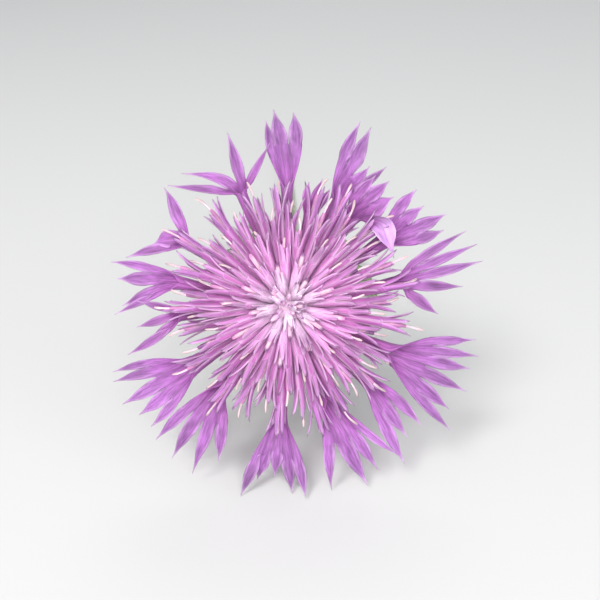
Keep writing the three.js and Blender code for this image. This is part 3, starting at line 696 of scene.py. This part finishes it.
def disc_rod(skin, number, path, out, side, up, q, rod, draw):
    """The anther tube and, past it, the style with its thicker end"""
    foot = bezier(path, 0.94)
    end = path[-1]
    centres, radii, tints = [], [], []
    if q > YOUNG:
        sheath, dark_odds, dark_from = 0.62 * rod, 0.25, 0.62
    else:
        sheath, dark_odds, dark_from = 0.95 * rod, 0.6, 0.84
    dark = DARK_END if draw() < dark_odds else ANTHER_END
    girth = mix(0.19, 0.27, ease(q / 0.5))
    for u in ROD_ROWS:
        centres.append(mix(foot, end + out * sheath, u))
        radii.append(girth * (1 + 0.12 * math.sin(3 * u)) * (1 if u < 0.9 else 0.86))
        tints.append(mix(mix(ANTHER, STYLE, 1 - q), dark, 0.9 * ease((u - dark_from) / 0.12)))
    radii[-1] = 0.6 * girth
    add_tube(skin, centres, radii, 8, tints, side, number + 0.5)
    if q <= YOUNG:
        return
    bend = side * 1.5 * (draw() - 0.5) + up * 1.2 * (draw() - 0.55)
    length = rod - sheath
    style, colours = [], []
    for i in range(len(STYLE_RADII)):
        u = i / (len(STYLE_RADII) - 1)
        style.append(end + out * (sheath - 0.3 + (length + 0.3) * u) + bend * (length / 2.2) * u**2.2)
        colours.append(mix(STYLE, STYLE_END, ease((u - 0.2) / 0.8)))
    add_tube(skin, style, STYLE_RADII, 6, colours, side, number + 0.7)


def centre_buds(skin, draw):
    """The last florets, still closed, in the middle of the disc"""
    for i in range(BUD_COUNT):
        q = math.sqrt((i + 0.5) / BUD_COUNT)
        direction = i * GOLDEN_ANGLE + 40 * draw()
        foot = head_point(direction, 1.5 * q, 6)
        end = head_point(direction, 3.4 * q, 9.3 - 0.8 * q + 1.1 * draw())
        dark = DARK_END if draw() < 0.7 else PALE_RIB
        shade = 0.94 + 0.1 * draw()
        centres = [mix(foot, end, u) for u in BUD_ROWS]
        tints = [mix(PALE_RIB, dark, share) if share else PALE_RIB * shade for share in BUD_DARKNESS]
        add_tube(skin, centres, BUD_RADII, 10, tints, head_point(direction + 90, 1, 0), BUD_GRAIN + i)


def disc_florets():
    """The disc florets, placed by the golden angle, the buds among them and the mass of their feet"""
    skin = Skin()
    draw, detail = seeded_draws(DISC_SEED), seeded_draws(DETAIL_SEED)
    for i in range(DISC_COUNT):
        q = math.sqrt((i + 0.5) / DISC_COUNT)
        direction = i * GOLDEN_ANGLE + 2 * (draw() - 0.5)
        reach = 0.6 + 12.2 * q**1.25 * (0.95 + 0.1 * draw())
        height = 8.8 - 1.6 * q * q + 1.2 * (draw() - 0.5)
        rod = ROD_LENGTH * (0.35 + 0.65 * q) * (0.8 + 0.4 * draw())
        disc_floret(skin, DISC_GRAIN + i, q, direction, reach, height, rod, 120 * draw(), detail)
    centre_buds(skin, detail)
    low = -PIT_DEPTH + GAP
    core = [(0, low), (DISC_RADIUS, low)] + DISC_CORE
    add_turned(skin, core, DISC_SEGMENTS, [DISC_FOOT] * len(core), CORE_GRAIN)
    return skin


def involucre_radius(height):
    share = (height + INVOLUCRE_LENGTH) / INVOLUCRE_LENGTH
    return INVOLUCRE_RADIUS * math.sqrt(math.sin(math.pi * (0.06 + 0.62 * share)))


# Rows of bracts: the height of their feet, their length and width, and how many there are
BRACT_ROWS = (
    (-14.3, 2.8, 2.3, 8), (-13.0, 3.3, 2.7, 10), (-11.2, 3.8, 2.9, 11), (-9.0, 4.3, 3.0, 11),
    (-6.6, 4.6, 3.0, 11), (-4.2, 4.9, 2.8, 12),
)
CUP_HEIGHTS = (-14.4, -13.8, -13, -12, -11, -10, -9, -8, -7, -6, -5, -4, -3, -2, -1, -0.5, -0.3)
BRACT = srgb(118, 136, 84)
BRACT_FOOT = srgb(150, 158, 112)
BRACT_EDGE = srgb(92, 74, 58)
PAPERY = srgb(206, 190, 152)
PIT = srgb(214, 206, 176)
BRACT_WIDEST = 0.58  # share of a bract's length
BRACT_SHARES = (0, 0.15, 0.3, 0.45, BRACT_WIDEST, 0.7, 0.8, 0.88, 0.94)


def involucre():
    skin = Skin()
    wall = [(0, -INVOLUCRE_LENGTH), (NECK_RADIUS, -INVOLUCRE_LENGTH)]
    wall += [(involucre_radius(height), height) for height in CUP_HEIGHTS]
    pit = [(MOUTH_RADIUS, CUP_HEIGHTS[-1]), (MOUTH_RADIUS, -PIT_DEPTH), (0, -PIT_DEPTH)]
    tints = [BRACT_FOOT] * len(wall) + [PIT] * len(pit)
    add_turned(skin, wall + pit, HEAD_SEGMENTS, tints, CUP_GRAIN)
    draw = seeded_draws(BRACT_SEED)
    number = 0
    for j, (foot, length, width, count) in enumerate(BRACT_ROWS):
        for i in range(count):
            bract(skin, 360 * (i + 0.5 * (j % 2)) / count + 11 * j, foot, length, width, number, draw)
            number += 1
    return skin


def bract_half(share, width):
    """Half of a bract's width, which grows as far as its widest place and then draws in to its tip"""
    if share < BRACT_WIDEST:
        return width * (0.36 + 0.14 * ease(share / BRACT_WIDEST))
    return 0.5 * width * (1 - ((share - BRACT_WIDEST) / (1 - BRACT_WIDEST)) ** 1.7)


def bract(skin, direction, foot, length, width, number, draw):
    """One bract, ridged on its back, with a papery fringed end"""
    spread = 0.12 * (draw() - 0.3)
    shade = 0.9 + 0.2 * draw()

    def point_at(share, lift, across):
        height = foot + length * share
        radius = involucre_radius(min(height, CUP_HEIGHTS[-1])) + lift
        return head_point(direction + math.degrees(across / radius), radius, height)

    sheet = Sheet()
    rim = []
    for share in BRACT_SHARES:
        half = bract_half(share, width)
        arch = ramp([(0, 0.5), (0.6, 1), (1, 0.3)], share)
        lift = ramp([(0, -0.2), (0.3, 0.12), (0.6, 0.4), (1, 0.46 + spread)], share)
        row = []
        for c in (-1, -0.5, 0, 0.5, 1):
            bend = lift - 0.42 * c * c * arch + (0.1 if c == 0 else 0)
            papery = ease((share - 0.62 + 0.1 * abs(c)) / 0.2)
            tint = mix(mix(BRACT_FOOT, BRACT, ease(share * 2)), PAPERY, papery)
            tint = mix(tint, BRACT_EDGE, 0.6 * ease(1 - abs(share - 0.66) / 0.12) * (1 - 0.4 * abs(c)))
            point = point_at(share, bend, c * half)
            thickness = 0.3 - 0.12 * abs(c)
            row.append(sheet.point(point, thickness, tint * shade, (0.9 * c, length * share, number)))
            if abs(c) == 1 and share >= BRACT_WIDEST:
                rim.append((point, c))
        sheet.follow(row)
    tip = point_at(1, 0.46 + spread, 0)
    sheet.close(sheet.point(tip, 0.12, PAPERY * shade, (0, length, number)))
    sheet.into(skin)
    outward = unit(tip - point_at(0.8, 0.46, 0))
    around = head_point(direction + 90, 1, 0)
    for point, c in rim + [(tip, 0)]:
        reach = 0.75 + 0.3 * draw()
        lean = unit(outward + around * c * 0.9 + head_point(direction, 0.25, 0))
        add_hair(skin, point - lean * 0.1, lean, reach, 0.07, PAPERY * (0.95 + 0.2 * draw()), number)


OFF_HAIR = np.array([0.31, 0.52, 0.8])  # a direction along which no hair lies


def add_hair(skin, foot, lean, length, radius, tint, number):
    """A three-sided hair that narrows to a point"""
    side = unit(np.cross(lean, OFF_HAIR))
    up = np.cross(lean, side)
    ring = [foot + radius * (side * math.cos(a) + up * math.sin(a)) for a in (0, 2.094, 4.189)]
    faces = [(0, 1, 3), (1, 2, 3), (2, 0, 3), (2, 1, 0)]
    skin.add(ring + [foot + lean * length], faces, [tint] * 4, [(0, 0, number)] * 3 + [(0, length, number)])


# The stem's middle line by distance from the head: straight, one arc down, then along the surface
ARC_LENGTH = ARC_RADIUS * math.radians(FACE_TILT)
STEM_LENGTH = NECK_STRAIGHT + ARC_LENGTH + STEM_LYING


def stem_aside(y):
    return STEM_SWAY * (y / STEM_LYING) ** STEM_BOW


def stem_point(distance):
    if distance < NECK_STRAIGHT:
        back = INVOLUCRE_LENGTH + GAP + distance
        return np.array([0, MOUTH_Y + back * TILT_COS, MOUTH_HEIGHT - back * TILT_SIN])
    if distance < NECK_STRAIGHT + ARC_LENGTH:
        left = (NECK_STRAIGHT + ARC_LENGTH - distance) / ARC_RADIUS
        return np.array([0, -ARC_RADIUS * math.sin(left), STEM_FLOOR + ARC_RADIUS * (1 - math.cos(left))])
    y = distance - NECK_STRAIGHT - ARC_LENGTH
    return np.array([stem_aside(y), y, STEM_FLOOR])


STEM_RIBS = (-90 - STEM_FLAT, -90 + STEM_FLAT, 8, 90, 172)  # directions round the stem, up is 90
STEM_SIDES = 40
STEM_RINGS = 130
STEM_HAIRS = 900
STEM_GREEN = srgb(122, 138, 92)
STEM_RIB = srgb(150, 160, 118)
STEM_PITH = srgb(206, 208, 170)
STEM_HAIR = srgb(224, 226, 208)


def from_first_rib(angle):
    return (angle - STEM_RIBS[0]) % 360 + STEM_RIBS[0]


def rib_share(angle):
    """1 on a rib, 0 in the groove between two ribs; underneath is flat"""
    angle = from_first_rib(angle)
    ribs = STEM_RIBS[1:] + (STEM_RIBS[0] + 360,)
    for a, b in zip(ribs, ribs[1:]):
        if a < angle <= b:
            return abs(math.cos(math.pi * (angle - a) / (b - a))) ** 1.3
    return 1


def stem_frame(distance):
    """The stem's middle and the directions along, across and up out of it"""
    centre = stem_point(distance)
    tangent = unit(stem_point(min(distance + 0.5, STEM_LENGTH)) - stem_point(max(distance - 0.5, 0)))
    across = unit(np.array([-tangent[1], tangent[0], 0]))
    return centre, tangent, across, np.cross(tangent, across)


def stem_surface(distance, angle):
    centre, _, across, up = stem_frame(distance)
    scale = mix(NECK_RADIUS, STEM_RADIUS, min(1, distance / 30))
    rib = rib_share(angle)
    radius = scale * mix(STEM_GROOVE, 1, rib)
    below = from_first_rib(angle) + 90
    if -STEM_FLAT < below < STEM_FLAT:
        radius = scale * math.cos(math.radians(STEM_FLAT)) / math.cos(math.radians(below))
    a = math.radians(angle)
    outward = across * math.cos(a) + up * math.sin(a)
    return centre + outward * radius, outward, rib


def stem():
    skin = Skin()
    draw = seeded_draws(HAIR_SEED)
    points, tints, grains = [], [], []
    for i in range(STEM_RINGS + 1):
        distance = STEM_LENGTH * i / STEM_RINGS
        for k in range(STEM_SIDES):
            point, _, rib = stem_surface(distance, STEM_RIBS[0] + 360 * k / STEM_SIDES)
            points.append(point)
            tints.append(mix(STEM_GREEN, STEM_RIB, rib) * (0.96 + 0.08 * math.sin(distance * 0.21)))
            grains.append((7 * k / STEM_SIDES, distance, STEM_GRAIN))
    faces = ring_faces(STEM_RINGS + 1, STEM_SIDES)
    faces.append(tuple(reversed(range(STEM_SIDES))))
    skin.add(points, faces, tints, grains)
    cut_end(skin, points[-STEM_SIDES:])
    bare = STEM_FLAT + 2
    for _ in range(STEM_HAIRS):
        distance = STEM_LENGTH * draw()
        angle = -90 + bare + (360 - 2 * bare) * draw()
        point, outward, _ = stem_surface(distance, angle)
        _, tangent, across, _ = stem_frame(distance)
        lean = unit(outward + tangent * (0.4 - 0.9 * draw()) + across * 0.5 * (draw() - 0.5))
        add_hair(skin, point - lean * 0.05, lean, 0.25 + 0.4 * draw(), 0.02, STEM_HAIR, STEM_GRAIN + 1)
    return skin


def cut_end(skin, ring):
    """The cut across the stem: a rim of green tissue round pale pith"""
    middle = sum(ring) / len(ring)
    sides = len(ring)
    points, tints = list(ring), [STEM_RIB] * sides
    inner_rings = ((0.93, -0.03, 0.9), (0.7, 0.02, 1), (0.35, 0.12, 0.92))
    for share, sink, shade in inner_rings:
        points += [mix(middle, p, share) - np.array([0, sink, 0]) for p in ring]
        tints += [STEM_PITH * shade] * sides
    rings = len(inner_rings) + 1
    faces = ring_faces(rings, sides)
    faces.append(tuple(range((rings - 1) * sides, rings * sides)))
    skin.add(points, faces, tints, [(p[0] * 3, p[2] * 3, STEM_GRAIN + 2) for p in points])


# The edge of a leaf, by its place along the leaf and its distance from the midrib, and the leaf's veins,
# by where they leave the midrib, where they end and how far out
LEAF_SPAN = 40  # length of the leaf that these widths are drawn for
LEAF_EDGE = (
    (0, 0.9), (0.12, 0.7), (0.22, 1.0), (0.29, 3.2), (0.38, 6.2), (0.37, 3.2), (0.35, 1.1), (0.43, 1.2),
    (0.5, 3.6), (0.59, 6.4), (0.58, 3.4), (0.56, 1.4), (0.62, 1.7), (0.72, 3.1), (0.84, 2.7), (0.93, 1.5),
)
LEAF_VEINS = ((0.2, 0.38, 6.2), (0.36, 0.59, 6.4), (0.6, 0.74, 2.9), (0.72, 0.86, 2.4))
LEAF_TOP = srgb(98, 124, 74)
LEAF_VEIN = srgb(150, 164, 116)
LEAF_UNDER = srgb(206, 210, 194)
LEAF_BLADE = 0.34
LEAF_VEIN_RISE = 0.1
LEAF_FOOT_HEIGHT = 1.5
LEAF_ARCH = 4.6
LEAF_TIP_HEIGHT = 0.312
LEAF_LOWEST = 0.19  # the middle of the blade stays this high
LEAF_MESH = 0.6


def leaf_path(leaf):
    """The leaf's midrib, from beside the stem up and down to its tip on the surface"""
    first, second = leaf["turn"]
    foot_half = LEAF_EDGE[0][1] * leaf["length"] / LEAF_SPAN
    aside = leaf["side"] * (STEM_RADIUS + GAP + 1.1 * foot_half)
    start = np.array([stem_aside(leaf["y"]) + aside, leaf["y"], LEAF_FOOT_HEIGHT])

    def step(angle, distance, height):
        a = math.radians(angle)
        return np.array([leaf["side"] * distance * math.sin(a), -distance * math.cos(a), height])

    control = start + step(first, 0.5 * leaf["length"], LEAF_ARCH)
    end = start + step((first + second) / 2, leaf["length"], 0)
    end[2] = LEAF_TIP_HEIGHT
    return [start, control, end]


def rounded(points, steps):
    """A smooth line through the points"""
    points = [np.array(p, float) for p in points]
    ends = [2 * points[0] - points[1]] + points + [2 * points[-1] - points[-2]]
    line = []
    for a, b, c, d in zip(ends, ends[1:], ends[2:], ends[3:]):
        for i in range(steps):
            t = i / steps
            square, cube = 2 * a - 5 * b + 4 * c - d, 3 * b - a - 3 * c + d
            line.append(0.5 * (2 * b + (c - a) * t + square * t * t + cube * t**3))
    line.append(points[-1])
    return line


def leaf_outline():
    upper = rounded([(LEAF_SPAN * share, width) for share, width in LEAF_EDGE] + [(LEAF_SPAN, 0)], 5)
    lower = [np.array([x, -y]) for x, y in reversed(upper[:-1])]
    return [tuple(p) for p in upper + lower]


def inside(point, outline):
    """Is a point of the plane inside the outline?"""
    found = False
    for (x0, y0), (x1, y1) in zip(outline, outline[1:] + outline[:1]):
        if (y0 > point[1]) != (y1 > point[1]) and point[0] < (x1 - x0) * (point[1] - y0) / (y1 - y0) + x0:
            found = not found
    return found


def vein_distance(x, y):
    """How far a point of the leaf lies from its nearest vein"""
    nearest = abs(y)
    p = np.array([x, abs(y)])
    for foot, end, width in LEAF_VEINS:
        a, b = np.array([LEAF_SPAN * foot, 0]), np.array([LEAF_SPAN * end, width])
        t = min(max((p - a) @ (b - a) / ((b - a) @ (b - a)), 0), 1)
        nearest = min(nearest, np.linalg.norm(p - a - (b - a) * t) + 0.1 * t)
    return nearest


def leaf_mesh():
    """The flat leaf's points, its outline filled with a fine mesh, and its faces"""
    outline = leaf_outline()
    count = len(outline)
    flat = list(outline)
    for i in range(1, 66):
        for j in range(-11, 12):
            p = (LEAF_MESH * i, LEAF_MESH * j + (LEAF_MESH / 2 if i % 2 and j else 0))
            if inside(p, outline) and min(math.dist(p, q) for q in outline) > LEAF_MESH / 2:
                flat.append(p)
    edges = [(i, (i + 1) % count) for i in range(count)]
    spots, _, faces, _, _, _ = geometry.delaunay_2d_cdt([Vector(p) for p in flat], edges, [], 1, 1e-5)
    return spots, faces


def leaf_skin(leaf, number):
    path = leaf_path(leaf)
    scale = leaf["length"] / LEAF_SPAN
    spots, faces = leaf_mesh()
    sheet = Sheet()
    for x, y in spots:
        share = min(max(x / LEAF_SPAN, 0), 1)
        across = y * scale
        centre, along = bezier(path, share), bezier_tangent(path, share)
        side = unit(np.array([-along[1], along[0], 0]))
        point = centre + side * across
        near = vein_distance(x, y)
        sunk = 0.16 * math.exp(-((near / 0.35) ** 2))
        wave = 0.1 * math.sin(1.9 * x + 0.8 * y) * min(1, abs(y) / 3)
        point[2] = max(point[2] + 0.16 * abs(across) + wave - sunk, LEAF_LOWEST)
        tint = mix(LEAF_TOP, LEAF_VEIN, math.exp(-((near / 0.22) ** 2)))
        under = mix(LEAF_UNDER, LEAF_VEIN, 0.5 * math.exp(-((near / 0.3) ** 2)))
        thickness = LEAF_BLADE if near > 0.3 else LEAF_BLADE + LEAF_VEIN_RISE
        sheet.point(point, thickness, tint, (y, x, number), under)
    for face in faces:
        a, b, c = [Vector(spots[i]) for i in face]
        turn = (b - a).cross(c - a)
        sheet.faces.append(tuple(face) if turn > 0 else tuple(reversed(face)))
    skin = Skin()
    sheet.into(skin)
    return skin


def add_node(tree, kind, inputs=None, **settings):
    """A node of a shader with its settings and its inputs, which are constants or outputs of other nodes"""
    node = tree.nodes.new("ShaderNode" + kind)
    for name, value in settings.items():
        setattr(node, name, value)
    for name, value in (inputs or {}).items():
        if isinstance(value, bpy.types.NodeSocket):
            tree.links.new(value, node.inputs[name])
        else:
            node.inputs[name].default_value = value
    return node


def noise_shade(tree, place, scale, detail, low, high, darkest, lightest):
    """Noise over a place, and a shade that goes from darkest to lightest with it"""
    noise = add_node(tree, "TexNoise", {"Vector": place, "Scale": scale, "Detail": detail}).outputs["Fac"]
    limits = {"Value": noise, "From Min": low, "From Max": high, "To Min": darkest, "To Max": lightest}
    return noise, add_node(tree, "MapRange", limits).outputs["Result"]


SHEEN = {"Specular IOR Level": 0.35, "Sheen Weight": 0.12, "Sheen Roughness": 0.5}


def petal_material(name, roughness, glow, streak):
    """A tinted surface with fine lengthwise streaks; glow is the share of light that comes through"""
    material = bpy.data.materials.new(name)
    material.use_nodes = True
    tree = material.node_tree
    tree.nodes.clear()
    tint = add_node(tree, "Attribute", attribute_name="tint").outputs["Color"]
    grain = add_node(tree, "Attribute", attribute_name="grain").outputs["Vector"]
    stretched = add_node(tree, "Mapping", {"Vector": grain, "Scale": (streak, 0.28, 3.1)}).outputs["Vector"]
    lines, line_shade = noise_shade(tree, stretched, 1.0, 3.0, 0.36, 0.64, 0.7, 1.2)
    place = add_node(tree, "TexCoord").outputs["Object"]
    _, patch_shade = noise_shade(tree, place, 420.0, 4.0, 0.3, 0.7, 0.9, 1.08)
    shade = add_node(tree, "Math", {0: line_shade, 1: patch_shade}, operation="MULTIPLY").outputs["Value"]
    colour = add_node(tree, "VectorMath", {0: tint, "Scale": shade}, operation="SCALE").outputs["Vector"]
    bump = add_node(tree, "Bump", {"Strength": 0.5, "Distance": 0.00008, "Height": lines}).outputs["Normal"]
    looks = {"Base Color": colour, "Normal": bump, "Roughness": roughness} | SHEEN
    surface = add_node(tree, "BsdfPrincipled", looks).outputs["BSDF"]
    if glow:
        through = add_node(tree, "BsdfTranslucent", {"Color": colour}).outputs["BSDF"]
        surface = add_node(tree, "MixShader", {"Fac": glow, 1: surface, 2: through}).outputs["Shader"]
    add_node(tree, "OutputMaterial", {"Surface": surface})
    return material


def show(skin, node, place, material):
    """A finer piece in the place of a solid"""
    piece = skin.make(node + "_fine", place, material)
    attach(piece, "root")
    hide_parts(node)


ray_finish = petal_material("ray_petal", roughness=0.5, glow=0.36, streak=4.2)
disc_finish = petal_material("disc_petal", roughness=0.5, glow=0.42, streak=5)
bract_finish = petal_material("bract", roughness=0.65, glow=0.04, streak=5)
stem_finish = petal_material("stem", roughness=0.6, glow=0, streak=5)
leaf_finish = petal_material("leaf", roughness=0.6, glow=0.1, streak=2.2)
show(ray_florets(), "ray_florets", place_head, ray_finish)
show(disc_florets(), "disc_florets", place_head, disc_finish)
show(involucre(), "involucre", place_head, bract_finish)
show(stem(), "stem", place_flat, stem_finish)
for index, leaf in enumerate(LEAVES):
    show(leaf_skin(leaf, LEAF_GRAIN + index), leaf["name"], place_flat, leaf_finish)


def floor_material():
    material = bpy.data.materials.new("pale_floor")
    material.use_nodes = True
    shader = material.node_tree.nodes["Principled BSDF"]
    shader.inputs["Base Color"].default_value = (0.6, 0.6, 0.59, 1)
    shader.inputs["Roughness"].default_value = 0.85
    return material


bpy.ops.mesh.primitive_plane_add(size=6, location=(0, 0, 0))
floor = bpy.context.object
floor.name = "floor"
floor.data.materials.append(floor_material())

# The camera and the lights aim at the middle of the head, a little above its mouth.
HEAD_PLANE = 3.5
aim = Vector(place_head(np.array([[0.0, 0.0, HEAD_PLANE]]))[0])


def area_light(name, place, target, size, power, colour):
    """A round light of a size in metres, at a place seen from the middle of the head"""
    place = aim + Vector(place)
    light = bpy.data.lights.new(name, "AREA")
    light.shape = "DISK"
    light.size = size
    light.energy = power
    light.color = colour
    holder = bpy.data.objects.new(name, light)
    holder.location = place
    holder.rotation_euler = (target - place).to_track_quat("-Z", "Y").to_euler()
    bpy.context.scene.collection.objects.link(holder)


area_light("key", (-0.3, -0.5, 0.6), aim, 0.3, 5.0, (1, 0.99, 0.98))
area_light("fill", (0.6, -0.5, 0.25), aim, 0.6, 1.6, (0.95, 0.97, 1))
area_light("front", (0.05, -0.72, 0.36), aim, 0.45, 6.0, (1, 1, 1))
area_light("back", (0.1, 0.7, 0.6), aim + Vector((0, 0.08, 0)), 0.6, 1.4, (1, 1, 1))

world = bpy.data.worlds.new("soft_sky")
world.use_nodes = True
sky = world.node_tree.nodes["Background"]
sky.inputs["Color"].default_value = (0.93, 0.95, 1, 1)
sky.inputs["Strength"].default_value = 0.5
bpy.context.scene.world = world
bpy.context.scene.view_settings.view_transform = "Standard"

# The photograph looks straight into the head: 81 mm across the plane of the florets. Its middle lies a
# little to the right of the head's and above it.
CAMERA_DISTANCE = 0.13
PLANE_WIDTH = 0.081
FRAME_ASIDE = 0.00162
FRAME_RISE = 0.00081
SENSOR_WIDTH = 36
camera_data = bpy.data.cameras.new("camera")
camera_data.sensor_width = SENSOR_WIDTH
camera_data.lens = SENSOR_WIDTH * CAMERA_DISTANCE / PLANE_WIDTH
camera_data.clip_start = 0.01
camera = bpy.data.objects.new("camera", camera_data)
axis = Vector((0, -TILT_COS, TILT_SIN))
rise = Vector((0, TILT_SIN, TILT_COS))
camera.location = aim + axis * CAMERA_DISTANCE + Vector((FRAME_ASIDE, 0, 0)) + rise * FRAME_RISE
camera.rotation_euler = (math.radians(90 - FACE_TILT), 0, 0)
bpy.context.scene.collection.objects.link(camera)
bpy.context.scene.camera = camera
